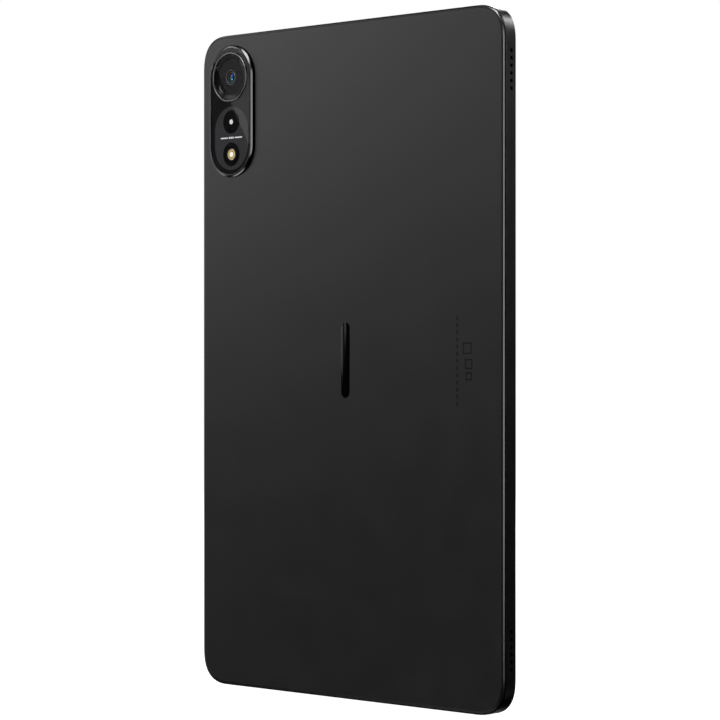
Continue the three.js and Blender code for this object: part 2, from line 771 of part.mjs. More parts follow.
function volumePieces() {
  const flangeOuter = innerSide - rockerFlangeGap;
  const flangeInner = flangeOuter - flangeThickness;
  const cap = sideCapsule(rockerLength, buttonHeight, flangeInner, side + buttonProud, rockerH);
  const flange = sideCapsule(rockerLength + 2 * flangeMargin, buttonHeight + flangeLip,
    flangeInner, flangeOuter, rockerH);
  const reach = (rockerSwitchSpacing / 2 + 1.5) * Math.sin(THREE.MathUtils.degToRad(rockerTilt));
  const plungerTop = flangeInner - reach - layerGap;
  const base = side - panelInset + 3 * fit;
  const switches = [['volume_switch_up', 1], ['volume_switch_down', -1]].map(([name, s]) => {
    const h = rockerH + (s * rockerSwitchSpacing) / 2;
    const body = block([base, plungerTop - 0.4], [edgePlane - 1, edgePlane + 1],
      [h - 1.8, h + 1.8]);
    const plunger = sideCapsule(2, 1.2, plungerTop - 0.6, plungerTop, h);
    return piece(name, shaped(body, { add: [plunger] }), steel);
  });
  return [piece('volume_rocker', shaped(cap, { add: [flange] }), satinMetal), ...switches];
}

function trayPieces() {
  const rear = trayRearDepth;
  const front = rear + trayThickness;
  const inner = side - trayLength;
  const headInner = side - 1.2;
  const blade = block([inner, headInner + 0.2], [rear, front],
    [trayH - trayWidth / 2, trayH + trayWidth / 2]);
  const head = sideCapsule(trayHeadLength, trayHeadHeight, headInner, side, trayH,
    rear + trayHeadHeight / 2);
  const pocketGap = 1.1;
  const pocketLength = (headInner - inner - 3 * pocketGap) / 2;
  const pockets = [0, 1].map((i) => {
    const x = inner + pocketGap + i * (pocketLength + pocketGap);
    return block([x, x + pocketLength], [rear - 1, front + 1],
      [trayH - trayWidth / 2 + 1.2, trayH + trayWidth / 2 - 1.2]);
  });
  const ejectHole = edgeBar(0.45, 'x', side, trayH - trayHeadLength / 2 + 1.6);
  ejectHole.translate(0, edgePlane - rear - trayHeadHeight / 2, 0);
  const sheet = 0.25;
  const clear = 2 * fit;
  const cageInner = inner - 1;
  const cageDepths = [rear - clear - sheet, boardRear - layerGap];
  const half = trayWidth / 2 + clear;
  const cage = shaped(block([cageInner, innerSide - 2], cageDepths, [trayH - half - sheet,
    trayH + half + sheet]), {
    take: [block([cageInner + sheet, innerSide], [rear - clear, boardRear + 1],
      [trayH - half, trayH + half])],
  });
  return [
    piece('card_tray', shaped(blade, { add: [head], take: [...pockets, ejectHole] }), satinMetal),
    piece('card_reader', cage, tin),
  ];
}

function frontCamera() {
  const half = frontCameraLength / 2;
  const module = block([side - panelInset + 3 * fit, innerSide - 3 * fit],
    [bayFront - 0.4, ledgeFront - 0.4], [-half, half]);
  const barrel = depthBar(frontLensRadius - fit, ledgeFront - 0.6, maskRear - layerGap,
    frontCameraX, 0, 16);
  return piece('front_camera', shaped(module, { add: [barrel] }), chip);
}

// ---------------------------------------------------------------- camera island
const glassFloor = 1.45;
const plateFloor = 0.95;
const plateTop = 1.15;
const islandFilm = 0.08;

function islandFrame() {
  const shell = loft([
    { outline: islandOutline(islandRim), depth: -islandTop },
    { outline: islandOutline(0.25), depth: -(islandWall + 0.3) },
    { outline: islandOutline(0), depth: -islandWall },
    { outline: islandOutline(0), depth: -layerGap },
  ]);
  const collar = slab(islandOutline(collarInset), -0.5, coverThickness);
  const through = slab(islandOutline(collarInset + collarWidth), -5, 5);
  const pocket = slab(islandOutline(islandRim + fit), -5, -(plateFloor - layerGap));
  return piece('island_frame', shaped(shell, { add: [collar], take: [through, pocket] }),
    polishedMetal);
}

function islandLayers() {
  const lensHole = depthBar(trimInnerRadius + fit, -5, 5, 0, lensH, roundSteps);
  const trimHole = depthBar(trimRadius + fit, -5, 5, 0, lensH, roundSteps);
  const ledHole = depthBar(ledRadius + fit, -5, 5, 0, flashH, 24);
  const base = shaped(slab(islandOutline(islandRim + 2 * fit), -plateTop, -plateFloor), {
    take: [lensHole, ledHole],
  });
  const inlayRear = plateTop + layerGap + islandFilm;
  const inlayShape = slab(capsule(inlayWidth, inlayHeight, 16), -inlayRear, -(plateTop + layerGap));
  inlayShape.translate(0, 0, inlayH);
  const inlay = shaped(inlayShape, { take: [ledHole] });
  const discs = [-(inlayRear + 0.03 + islandFilm), -(inlayRear + 0.03)];
  const indicator = depthBar(discRadius, ...discs, 0, indicatorH, roundSteps);
  const flash = shaped(depthBar(discRadius, ...discs, 0, flashH, roundSteps), { take: [ledHole] });
  const pane = shaped(loft([
    { outline: islandOutline(islandRim + 0.45), depth: -(islandTop - 0.05) },
    { outline: islandOutline(islandRim + 2 * fit), depth: -(islandTop - 0.2) },
    { outline: islandOutline(islandRim + 2 * fit), depth: -glassFloor },
  ]), { take: [trimHole] });
  return [
    piece('island_plate', base, blackPlastic),
    piece('inlay_plate', inlay, greyPlastic),
    piece('indicator_disc', indicator, blackGlass),
    piece('flash_disc', flash, blackGlass),
    piece('flash_led', depthBar(ledRadius, -(inlayRear + 0.05), -0.2, 0, flashH, 24), whiteFilm),
    piece('island_glass', pane, blackGlass),
  ];
}

function lensPieces() {
  const seat = plateTop + layerGap;
  const coneTop = trimTop - 0.45;
  const coneBottom = coneTop - 0.65;
  const maskTop = coneBottom - layerGap;
  const trim = turned([
    [trimInnerRadius, seat], [trimRadius, seat], [trimRadius, trimTop - 0.35],
    [trimRadius - 0.12, trimTop - 0.1], [trimRadius - 0.4, trimTop],
    [trimInnerRadius + 0.12, trimTop - 0.05], [trimInnerRadius, trimTop - 0.2],
    [trimInnerRadius, seat],
  ]);
  const cone = turned([
    [trimInnerRadius - fit, coneTop], [maskRadius + fit, coneBottom],
    [maskRadius + fit, coneBottom - 0.3], [trimInnerRadius - fit, coneTop - 0.3],
    [trimInnerRadius - fit, coneTop],
  ]);
  const pane = turned([
    [0, coneTop + layerGap], [trimInnerRadius - fit, coneTop + layerGap],
    [trimInnerRadius - fit, trimTop - 0.22], [trimInnerRadius - 0.3, trimTop - 0.15],
    [0, trimTop - 0.15],
  ]);
  const mask = turned([
    [barrelRadius + fit, maskTop - 0.2], [maskRadius, maskTop - 0.2],
    [maskRadius, maskTop], [barrelRadius + fit, maskTop], [barrelRadius + fit, maskTop - 0.2],
  ]);
  const moduleTop = -bayRear;
  const barrel = turned([
    [frontElementRadius + fit, moduleTop + fit], [barrelRadius, moduleTop + fit],
    [barrelRadius, maskTop + 0.12], [barrelRadius - 0.3, maskTop + 0.12],
    [frontElementRadius + 0.5, maskTop - 0.3], [frontElementRadius + fit, maskTop - 0.3],
    [frontElementRadius + fit, moduleTop + fit],
  ]);
  const dome = [];
  for (let i = 0; i <= 5; i++) {
    const angle = (i / 5) * (Math.PI / 2);
    dome.push([frontElementRadius * Math.cos(angle), maskTop - 0.9 + 0.55 * Math.sin(angle)]);
  }
  dome[5][0] = 0;
  const element = turned([[0, maskTop - 1.3], [frontElementRadius, maskTop - 1.3], ...dome], 24);
  const half = 5.5;
  const module = block([-half, half], [bayRear, bayFront], [-half, half]);
  const pieces = [
    piece('lens_trim_ring', trim, polishedMetal),
    piece('lens_cone', cone, satinMetal),
    piece('lens_cover_glass', pane, blackGlass),
    piece('lens_mask', mask, blackPlastic),
    piece('lens_barrel', barrel, blackPlastic),
    piece('front_element', element, blackGlass),
    piece('camera_module', module, chip),
  ];
  for (const lensPiece of pieces) lensPiece.position.z = lensH;
  return pieces;
}

function cameraIsland() {
  const island = new THREE.Group();
  island.position.set(islandX, 0, islandH);
  island.add(islandFrame(), ...islandLayers(), ...lensPieces());
  return island;
}

// ---------------------------------------------------------------- the tablet
const body = new THREE.Group();
body.position.set(0, rearY, end);
body.add(
  rearCover(), rearBadge(), frameSeal(), sideFrame(), ...displayPieces(),
  midPlate(), ...frameScrews(), ...powerPack(), ...mainBoard(), ...socketPieces(),
  ...antennaAndMicrophones(), ...speakers(), ...powerPieces(), ...volumePieces(), ...trayPieces(),
  frontCamera(), cameraIsland(),
);

const tablet = new THREE.Group();
tablet.add(body);

export default tablet;
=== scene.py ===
"""Looks of the tablet computer: fine shells, glass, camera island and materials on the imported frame."""
import json
import math

import bmesh
import bpy
from mathutils import Matrix, Vector


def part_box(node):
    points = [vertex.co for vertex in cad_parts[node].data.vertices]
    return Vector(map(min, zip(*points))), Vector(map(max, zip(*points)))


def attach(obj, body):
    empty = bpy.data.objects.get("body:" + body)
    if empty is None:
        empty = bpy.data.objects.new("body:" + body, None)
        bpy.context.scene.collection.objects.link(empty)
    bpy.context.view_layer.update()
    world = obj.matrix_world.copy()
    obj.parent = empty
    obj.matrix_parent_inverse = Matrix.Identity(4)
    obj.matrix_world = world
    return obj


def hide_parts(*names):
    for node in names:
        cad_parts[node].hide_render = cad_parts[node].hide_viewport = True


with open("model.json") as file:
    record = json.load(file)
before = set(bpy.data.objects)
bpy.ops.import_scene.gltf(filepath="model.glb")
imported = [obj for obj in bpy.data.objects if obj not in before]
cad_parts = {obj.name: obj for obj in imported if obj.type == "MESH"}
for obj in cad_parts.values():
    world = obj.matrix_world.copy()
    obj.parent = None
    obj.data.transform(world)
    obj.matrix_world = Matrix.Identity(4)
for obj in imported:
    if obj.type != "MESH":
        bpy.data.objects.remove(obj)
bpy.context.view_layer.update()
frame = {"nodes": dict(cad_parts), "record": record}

# ------------------------------------------------------------ places, from the frame
# x is to the right of the screen's reader, h is up from the middle, d is behind the rear face
# (negative where it stands proud), all in millimetres.
MM = 0.001
cover_low, cover_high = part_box("rear_cover")
REAR_Y = cover_high.y
MID_Z = (cover_low.z + cover_high.z) / 2
SIDE = cover_high.x / MM
END = (cover_high.z - cover_low.z) / 2 / MM


def centre_of(node):
    low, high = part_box(node)
    return (low.x + high.x) / 2 / MM, ((low.z + high.z) / 2 - MID_Z) / MM


def depths_of(node):
    """Rear and front depth of a node, in millimetres behind the rear face."""
    low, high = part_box(node)
    return (REAR_Y - high.y) / MM, (REAR_Y - low.y) / MM


def width_height(node):
    low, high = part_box(node)
    return (high.x - low.x) / MM, (high.z - low.z) / MM


def at(x, d, h):
    return Vector((x * MM, REAR_Y - d * MM, MID_Z + h * MM))


ISLAND = centre_of("island_frame")
LENS = centre_of("lens_trim_ring")
INLAY = centre_of("inlay_plate")
INDICATOR = centre_of("indicator_disc")
FLASH = centre_of("flash_disc")
EDGE_PLANE = sum(depths_of("power_button")) / 2
CORNER_RADIUS = 15.6
CORNER_POWER = 2.726  # exponent of the squircle corners; 2 would be a plain arc
WALL = 1.5
TRIM_RADIUS = 10.65
FLASH_HOLE = 2.45
HOLE_COUNT = 6  # speaker holes near each end of both long sides
HOLE_PITCH = 2.966
HOLE_RADIUS = 0.75
HOLES_FROM_END = 25.8
MICROPHONE_HOLE = 0.45
CAP_HEIGHT = 2.2  # buttons
FLANGE_MARGIN = 1.0  # the hidden flange of a button reaches this far past its cap
BUTTON_GAP = 0.12
TRAY_GAP = 0.08
THROUGH = 5  # half the depth of a cutter that goes right through


# ------------------------------------------------------------ outlines and mesh helpers
def body_outline(inset, steps=28):
    """The tablet's rounded outline, moved inwards, as (x, h) points."""
    radius = CORNER_RADIUS - inset
    cx, ch = SIDE - CORNER_RADIUS, END - CORNER_RADIUS
    points = []
    for sx, sh, reverse in ((1, 1, False), (-1, 1, True), (-1, -1, False), (1, -1, True)):
        for i in range(steps + 1):
            angle = (steps - i if reverse else i) / steps * math.pi / 2
            across = radius * max(math.cos(angle), 0) ** (2 / CORNER_POWER)
            up = radius * max(math.sin(angle), 0) ** (2 / CORNER_POWER)
            points.append((sx * (cx + across), sh * (ch + up)))
    return points


def rounded(width, height, radius, centre=(0, 0), steps=10):
    """A rectangle with round corners; with the largest radius it is a capsule."""
    points = []
    cx, ch = width / 2 - radius, height / 2 - radius
    for quarter, (x, h) in enumerate(((cx, ch), (-cx, ch), (-cx, -ch), (cx, -ch))):
        for i in range(steps + 1):
            angle = (quarter + i / steps) * math.pi / 2
            point = (centre[0] + x + radius * math.cos(angle), centre[1] + h + radius * math.sin(angle))
            if not points or math.dist(point, points[-1]) > 1e-5:
                points.append(point)
    if math.dist(points[0], points[-1]) < 1e-5:
        points.pop()
    return points


def capsule(width, height, centre=(0, 0), steps=24):
    return rounded(width, height, min(width, height) / 2, centre, steps)


def island_outline(inset):
    width, height = width_height("island_frame")
    return capsule(width - 2 * inset, height - 2 * inset, ISLAND, 40)


def new_piece(name, verts, faces, materials, face_slots=None, sharp=32):
    """A mesh object with smooth shading that breaks at edges sharper than the angle."""
    mesh = bpy.data.meshes.new(name)
    mesh.from_pydata(verts, [], faces)
    for material in materials:
        mesh.materials.append(material)
    if face_slots:
        mesh.polygons.foreach_set("material_index", face_slots)
    shape = bmesh.new()
    shape.from_mesh(mesh)
    bmesh.ops.recalc_face_normals(shape, faces=shape.faces)
    shape.to_mesh(mesh)
    shape.free()
    piece = bpy.data.objects.new(name, mesh)
    bpy.context.scene.collection.objects.link(piece)
    smooth(piece, sharp)
    return piece


def smooth(piece, sharp=32):
    mesh = piece.data
    mesh.polygons.foreach_set("use_smooth", [True] * len(mesh.polygons))
    mesh.set_sharp_from_angle(angle=math.radians(sharp))
    mesh.update()


def loft(name, outline, profile, materials, band_slots=None, sharp=32):
    """A solid through outlines at (inset, d) steps, rear to front, closed by flat caps."""
    rings = [[at(x, d, h) for x, h in outline(inset)] for inset, d in profile]
    count = len(rings[0])
    verts = [point for ring in rings for point in ring]
    faces = [tuple(reversed(range(count)))]
    slots = [0]
    for band in range(len(rings) - 1):
        for i in range(count):
            a, b = band * count + i, band * count + (i + 1) % count
            faces.append((a, b, b + count, a + count))
            slots.append(band_slots[band] if band_slots else 0)
    last = (len(rings) - 1) * count
    faces.append(tuple(range(last, last + count)))
    slots.append(0)
    return new_piece(name, verts, faces, materials, slots, sharp)


def loop_loft(name, outline, profile, materials, band_slots=None, sharp=32):
    """A ring whose section is the closed profile of (inset, d) steps."""
    rings = [[at(x, d, h) for x, h in outline(inset)] for inset, d in profile]
    count, bands = len(rings[0]), len(rings)
    verts = [point for ring in rings for point in ring]
    faces, slots = [], []
    for band in range(bands):
        below = ((band + 1) % bands) * count
        for i in range(count):
            j = (i + 1) % count
            faces.append((band * count + i, band * count + j, below + j, below + i))
            slots.append(band_slots[band] if band_slots else 0)
    return new_piece(name, verts, faces, materials, slots, sharp)


def turned(name, centre, profile, materials, steps=96, sharp=32, band_slots=None):
    """A turned piece from (radius, d) steps. Points on the axis close it; else it is a ring."""
    verts, rows = [], []
    for radius, d in profile:
        if radius == 0:
            rows.append([len(verts)])
            verts.append(at(centre[0], d, centre[1]))
            continue
        rows.append(list(range(len(verts), len(verts) + steps)))
        for i in range(steps):
            angle = 2 * math.pi * i / steps
            x, h = centre[0] + radius * math.cos(angle), centre[1] + radius * math.sin(angle)
            verts.append(at(x, d, h))
    solid = profile[0][0] == 0 and profile[-1][0] == 0
    pairs = list(zip(rows, rows[1:])) + ([] if solid else [(rows[-1], rows[0])])
    faces, slots = [], []
    for band, (upper, lower) in enumerate(pairs):
        for i in range(steps):
            j = (i + 1) % steps
            corners = [upper[i % len(upper)], upper[j % len(upper)],
                       lower[j % len(lower)], lower[i % len(lower)]]
            face = tuple(dict.fromkeys(corners))
            if len(face) > 2:
                faces.append(face)
                slots.append(band_slots[band] if band_slots else 0)
    return new_piece(name, verts, faces, materials, slots, sharp)


def plate(name, outlines, rear, front, materials, bevel=0.0):
    """Flat shapes pushed from one depth to another; one mesh for all the outlines."""
    verts, faces = [], []
    for outline in outlines:
        start, count = len(verts), len(outline)
        verts += [at(x, rear, h) for x, h in outline]
        verts += [at(x, front, h) for x, h in outline]
        faces.append(tuple(start + i for i in reversed(range(count))))
        faces.append(tuple(start + count + i for i in range(count)))
        for i in range(count):
            j = (i + 1) % count
            faces.append((start + i, start + j, start + count + j, start + count + i))
    piece = new_piece(name, verts, faces, materials)
    if bevel:
        edge = piece.modifiers.new("edge", "BEVEL")
        edge.width = bevel * MM
        edge.segments = 3
        edge.limit_method = "ANGLE"
        edge.angle_limit = math.radians(40)
        settle(piece)
    return piece


def settle(piece, sharp=32):
    """Applies the piece's modifiers, so that the mesh is final."""
    graph = bpy.context.evaluated_depsgraph_get()
    mesh = bpy.data.meshes.new_from_object(piece.evaluated_get(graph))
    piece.modifiers.clear()
    piece.data = mesh
    smooth(piece, sharp)


def even_normals(piece):
    """Weights normals by face area, so that large flat faces shade flat."""
    modifier = piece.modifiers.new("even", "WEIGHTED_NORMAL")
    modifier.keep_sharp = True
    modifier.weight = 100


def cut(piece, cutters, sharp=32):
    for index, cutter in enumerate(cutters):
        step = piece.modifiers.new(f"cut{index}", "BOOLEAN")
        step.operation = "DIFFERENCE"
        step.solver = "EXACT"
        step.object = cutter
    settle(piece, sharp)
    for cutter in cutters:
        bpy.data.objects.remove(cutter)


def bar(points, axis, low, high):
    """A cutter: an outline in the plane across X or Z, pushed along that axis, in millimetres."""
    verts, count = [], len(points)
    for level in (low, high):
        for u, d in points:
            verts.append(at(level, d, u) if axis == "x" else at(u, d, level))
    faces = [tuple(range(count)), tuple(reversed(range(count, 2 * count)))]
    for i in range(count):
        j = (i + 1) % count
        faces.append((j, i, i + count, j + count))
    return new_piece("cutter", verts, faces, [])


def round_section(centre, radius, steps=28):
    return [(centre + radius * math.cos(2 * math.pi * i / steps),
             EDGE_PLANE + radius * math.sin(2 * math.pi * i / steps)) for i in range(steps)]


# ------------------------------------------------------------ materials
ROUGHNESS_SPREAD = 0.04
PATCH_SCALE = 60.0  # roughness patches per metre


def shader(name, color, roughness, metallic=0.0, **sockets):
    """A Principled material; further sockets are given by name with _ for spaces."""
    material = bpy.data.materials.new(name)
    material.use_nodes = True
    surface = material.node_tree.nodes["Principled BSDF"]
    surface.inputs["Base Color"].default_value = (*color, 1)
    surface.inputs["Roughness"].default_value = roughness
    surface.inputs["Metallic"].default_value = metallic
    for socket, value in sockets.items():
        surface.inputs[socket.replace("_", " ")].default_value = value
    return material


def node(material, kind, **settings):
    made = material.node_tree.nodes.new(kind)
    for key, value in settings.items():
        if key in made.inputs:
            made.inputs[key].default_value = value
        else:
            setattr(made, key, value)
    return made


def link(material, source, target):
    material.node_tree.links.new(source, target)


def grain(material, size, bump, tint=0.06):
    """Fine blasted or moulded grain: bump, a little tone and a little roughness change.
    size is the grain in millimetres, bump its height in millimetres."""
    surface = material.node_tree.nodes["Principled BSDF"]
    place = node(material, "ShaderNodeTexCoord")
    fine = node(material, "ShaderNodeTexNoise", Scale=1 / (size * MM), Detail=3.0)
    wide = node(material, "ShaderNodeTexNoise", Scale=PATCH_SCALE, Detail=2.0)
    link(material, place.outputs["Object"], fine.inputs["Vector"])
    link(material, place.outputs["Object"], wide.inputs["Vector"])
    height = node(material, "ShaderNodeBump", Strength=1.0, Distance=bump * MM)
    link(material, fine.outputs["Fac"], height.inputs["Height"])
    link(material, height.outputs["Normal"], surface.inputs["Normal"])
    base = surface.inputs["Roughness"].default_value
    spread = node(material, "ShaderNodeMapRange")
    spread.inputs["To Min"].default_value = base - ROUGHNESS_SPREAD
    spread.inputs["To Max"].default_value = base + ROUGHNESS_SPREAD
    link(material, wide.outputs["Fac"], spread.inputs["Value"])
    link(material, spread.outputs["Result"], surface.inputs["Roughness"])
    tone = surface.inputs["Base Color"].default_value[:3]
    blend = node(material, "ShaderNodeMix", data_type="RGBA")
    blend.inputs[6].default_value = (*[c * (1 - tint) for c in tone], 1)
    blend.inputs[7].default_value = (*[c * (1 + tint) for c in tone], 1)
    link(material, fine.outputs["Fac"], blend.inputs[0])
    link(material, blend.outputs[2], surface.inputs["Base Color"])
    return material


def clear_glass(name, tint=(1, 1, 1), roughness=0.02, straight=0.04):
    """Thin glass: what lies behind shows through, under a reflection that grows towards grazing."""
    material = bpy.data.materials.new(name)
    material.use_nodes = True
    tree = material.node_tree
    tree.nodes.remove(tree.nodes["Principled BSDF"])
    through = node(material, "ShaderNodeBsdfTransparent")
    through.inputs["Color"].default_value = (*tint, 1)
    mirror = node(material, "ShaderNodeBsdfGlossy", Roughness=roughness)
    facing = node(material, "ShaderNodeLayerWeight", Blend=0.5)
    steep = node(material, "ShaderNodeMath", operation="POWER")
    steep.inputs[1].default_value = 5
    share = node(material, "ShaderNodeMath", operation="MULTIPLY_ADD")
    share.inputs[1].default_value = 1 - straight
    share.inputs[2].default_value = straight
    side = node(material, "ShaderNodeNewGeometry")
    outer = node(material, "ShaderNodeMath", operation="SUBTRACT")
    outer.inputs[0].default_value = 1
    once = node(material, "ShaderNodeMath", operation="MULTIPLY")
    mix = node(material, "ShaderNodeMixShader")
    link(material, facing.outputs["Facing"], steep.inputs[0])
    link(material, steep.outputs[0], share.inputs[0])
    link(material, side.outputs["Backfacing"], outer.inputs[1])
    link(material, share.outputs[0], once.inputs[0])
    link(material, outer.outputs[0], once.inputs[1])
    link(material, once.outputs[0], mix.inputs[0])
    link(material, through.outputs["BSDF"], mix.inputs[1])
    link(material, mirror.outputs["BSDF"], mix.inputs[2])
    link(material, mix.outputs["Shader"], tree.nodes["Material Output"].inputs["Surface"])
    return material


shell_metal = grain(shader("shell_metal", (0.13, 0.13, 0.132), 0.4, 1.0), 0.16, 0.0012)
# Darker copy of the shell metal for the rear cover's rounded shoulder: painted shade for its dark roll-off
# band. It is also a little smoother than the shell.
shoulder_metal_painted_shade = grain(shader("shoulder_metal_painted_shade", (0.06, 0.06, 0.061), 0.3, 1.0), 0.3, 0.0004, tint=0.03)
edge_metal = grain(shader("edge_metal", (0.3, 0.3, 0.304), 0.2, 1.0), 0.5, 0.0002, tint=0.03)
satin_metal = grain(shader("satin_metal", (0.1, 0.1, 0.101), 0.3, 1.0), 0.12, 0.0008)
trim_metal = grain(shader("trim_metal", (0.24, 0.24, 0.243), 0.16, 1.0), 0.4, 0.0002, tint=0.03)
# Near-black copy for the camera island rim's outer wall: painted shade on the metal rim.
rim_wall_painted_shade = grain(shader("rim_wall_painted_shade", (0.012, 0.012, 0.012), 0.3, 0.6), 0.2, 0.0005)
seal_black = grain(shader("seal_black", (0.001, 0.001, 0.001), 0.3, Specular_IOR_Level=0.1), 0.15, 0.0001)
plastic_black = grain(shader("plastic_black", (0.01, 0.01, 0.0105), 0.5), 0.2, 0.004)
gloss_black = grain(shader("gloss_black", (0.003, 0.003, 0.0033), 0.12), 0.5, 0.0001)
print_black = grain(shader("print_black", (0.002, 0.002, 0.002), 0.35), 0.3, 0.0002)
plate_black = grain(shader("plate_black", (0.019, 0.019, 0.0193), 0.5, Specular_IOR_Level=0.1), 0.3, 0.0004)
inlay_grey = grain(shader("inlay_grey", (0.125, 0.125, 0.128), 0.5, Specular_IOR_Level=0.1), 0.3, 0.0004)
cone_black = grain(shader("cone_black", (0.06, 0.06, 0.0612), 0.22, 0.95), 0.3, 0.0001)
ring_metal = grain(shader("ring_metal", (0.18, 0.18, 0.184), 0.3, 1.0), 0.3, 0.0003)
lens_black = grain(shader("lens_black", (0.003, 0.003, 0.0031), 0.4, Specular_IOR_Level=0.1), 0.3, 0.0003)
disc_black = grain(shader("disc_black", (0.002, 0.002, 0.0021), 0.3, Specular_IOR_Level=0.1), 0.3, 0.0001)
# White print with a fixed emission: a painted glow on top of its own white colour.
white_mark_painted_glow = grain(shader("white_mark_painted_glow", (0.8, 0.8, 0.8), 0.4, Emission_Color=(1, 1, 1, 1),
                          Emission_Strength=0.55), 0.2, 0.0005)
mark_dark = grain(shader("mark_dark", (0.006, 0.006, 0.006), 0.4), 0.2, 0.0005)
# Fixed blue and cyan emission for two small domes in the lens: painted glints standing in for reflections.
painted_glint_blue = grain(shader("painted_glint_blue", (0.0, 0.03, 0.25), 0.15, Emission_Color=(0.0, 0.12, 0.75, 1),
                          Emission_Strength=0.8), 0.3, 0.0002, tint=0.2)
painted_glint_cyan = grain(shader("painted_glint_cyan", (0.0, 0.12, 0.25), 0.15, Emission_Color=(0.0, 0.5, 0.8, 1),
                          Emission_Strength=0.8), 0.3, 0.0002, tint=0.2)
screen_black = grain(shader("screen_black", (0.011, 0.012, 0.015), 0.35), 0.12, 0.0003)
tin_plate = grain(shader("tin_plate", (0.55, 0.56, 0.57), 0.3, 1.0), 0.3, 0.001)
cast_alloy = grain(shader("cast_alloy", (0.4, 0.41, 0.42), 0.55, 0.9), 0.4, 0.01)
screw_steel = grain(shader("screw_steel", (0.45, 0.45, 0.46), 0.35, 1.0), 0.1, 0.001)
film_white = grain(shader("film_white", (0.78, 0.79, 0.8), 0.5), 0.3, 0.001)
film_amber = grain(shader("film_amber", (0.4, 0.17, 0.04), 0.45), 0.4, 0.002)
board_green = grain(shader("board_green", (0.015, 0.09, 0.045), 0.5), 0.6, 0.01)
pouch_foil = grain(shader("pouch_foil", (0.04, 0.04, 0.043), 0.38), 1.5, 0.02)
graphite = grain(shader("graphite", (0.06, 0.06, 0.062), 0.4), 0.5, 0.004)
chip_resin = grain(shader("chip_resin", (0.018, 0.018, 0.019), 0.45), 0.15, 0.003)
# The flash lamp's phosphor glows with a fixed emission although the flash is off. This is a painted
# highlight over its own pale yellow colour, and the deeper outer ring glows too.
phosphor = grain(shader("phosphor", (0.85, 0.8, 0.68), 0.3, Emission_Color=(1, 0.93, 0.8, 1),
                        Emission_Strength=0.85), 0.5, 0.01, tint=0.2)
phosphor_deep_painted_glow = grain(shader("phosphor_deep_painted_glow", (0.6, 0.42, 0.16), 0.3, Emission_Color=(1, 0.75, 0.35, 1),
                             Emission_Strength=0.3), 0.5, 0.01, tint=0.2)
front_glass = clear_glass("front_glass", (0.97, 0.98, 0.98))
smoked_glass = clear_glass("smoked_glass", (0.96, 0.96, 0.97), 0.01)
lens_glass = clear_glass("lens_glass", (0.97, 0.97, 0.98), 0.01, straight=0.014)

SLOT_LOOKS = {
    "anodised_shell": shell_metal, "satin_frame": satin_metal, "polished_trim": trim_metal,
    "lens_cone": cone_black, "gloss_black": gloss_black, "black_seal": seal_black,
    "black_print": print_black, "front_glass": front_glass, "panel_black": screen_black,
    "white_film": film_white, "flex_film": film_amber, "cast_alloy": cast_alloy,
    "pouch_foil": pouch_foil, "graphite": graphite, "circuit_board": board_green,
    "tin_plate": tin_plate, "chip_resin": chip_resin, "black_plastic": plastic_black,
    "screw_steel": screw_steel, "island_black": plate_black, "inlay_grey": inlay_grey,
    "phosphor": phosphor, "island_glass": smoked_glass, "lens_black": lens_black,
    "coated_glass": gloss_black,
}
slot_of = {part["node"]: part["material_slot"] for part in frame["record"]["subparts"]}
for name, part in frame["nodes"].items():
    look = SLOT_LOOKS[slot_of[name]]
    if not part.data.materials:
        part.data.materials.append(look)
    for index in range(len(part.material_slots)):
        part.material_slots[index].material = look


def stands_for(piece, *nodes, body="tablet"):
    """The piece rides on its body and is shown in place of the CAD nodes."""
    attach(piece, body)
    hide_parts(*nodes)
    return piece


def lets_light_past(piece):
    """Keeps the low rims of the island from shading the flat parts beside them."""
    piece.visible_shadow = False
    piece.visible_glossy = False


def detail(piece, body="tablet"):
    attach(piece, body)
    return piece


# ------------------------------------------------------------ shell
def make_rear_cover():
    profile = [(1.5, 0.0), (1.42, 0.004), (1.34, 0.014), (0.68, 0.138), (0.62, 0.155),
               (0.57, 0.18), (0.07, 0.462), (0.02, 0.5), (0.0, 0.54), (0.0, 0.58),
               (1.2, 0.58), (1.2, depths_of("rear_cover")[1])]
    # Band slots: 0 shell metal, 1 the rounded shoulder in the darker copy (painted shade), 2 the polished
    # chamfer.
    bands = [0, 0, 1, 1, 2, 2, 2, 2, 2, 0, 0]
    looks = [shell_metal, shoulder_metal_painted_shade, edge_metal]
    cover = loft("rear_shell", body_outline, profile, looks, bands, sharp=12)
    width, height = width_height("island_frame")
    opening = plate("cutter", [capsule(width - 2.4, height - 2.4, ISLAND, 40)], -1, 2, [])
    badge_width, badge_height = width_height("rear_badge")
    recess = plate("cutter", [capsule(badge_width + 0.1, badge_height + 0.1, centre_of("rear_badge"))],
                   -1, 0.35, [])
    cut(cover, [opening, recess], sharp=12)
    even_normals(cover)
    stands_for(cover, "rear_cover")


def make_badge():
    width, height = width_height("rear_badge")
    badge = plate("badge_inlay", [capsule(width, height, centre_of("rear_badge"))], 0.0, 0.3,
                  [gloss_black], bevel=0.05)
    stands_for(badge, "rear_badge")


def make_seal():
    profile = [(0.15, 0.63), (0.15, 1.19), (1.1, 1.19), (1.1, 0.63)]
    stands_for(loop_loft("seal_ring", body_outline, profile, [seal_black]), "frame_seal")


def speaker_cutters():
    cutters = []
    for sx in (1, -1):
        for sh in (1, -1):
            for i in range(HOLE_COUNT):
                h = sh * (END - HOLES_FROM_END) + (i - (HOLE_COUNT - 1) / 2) * HOLE_PITCH
                section = round_section(h, HOLE_RADIUS)
                cutters.append(bar(section, "x", sx * (SIDE - 2.4), sx * (SIDE + 2)))
    return cutters


def slot_cutter(centre, middle, length, height, axis, low, high):
    """A capsule-shaped slot through an edge; middle is its depth."""
    section = [(centre + u, middle + v) for u, v in capsule(length, height)]
    return bar(section, axis, low, high)


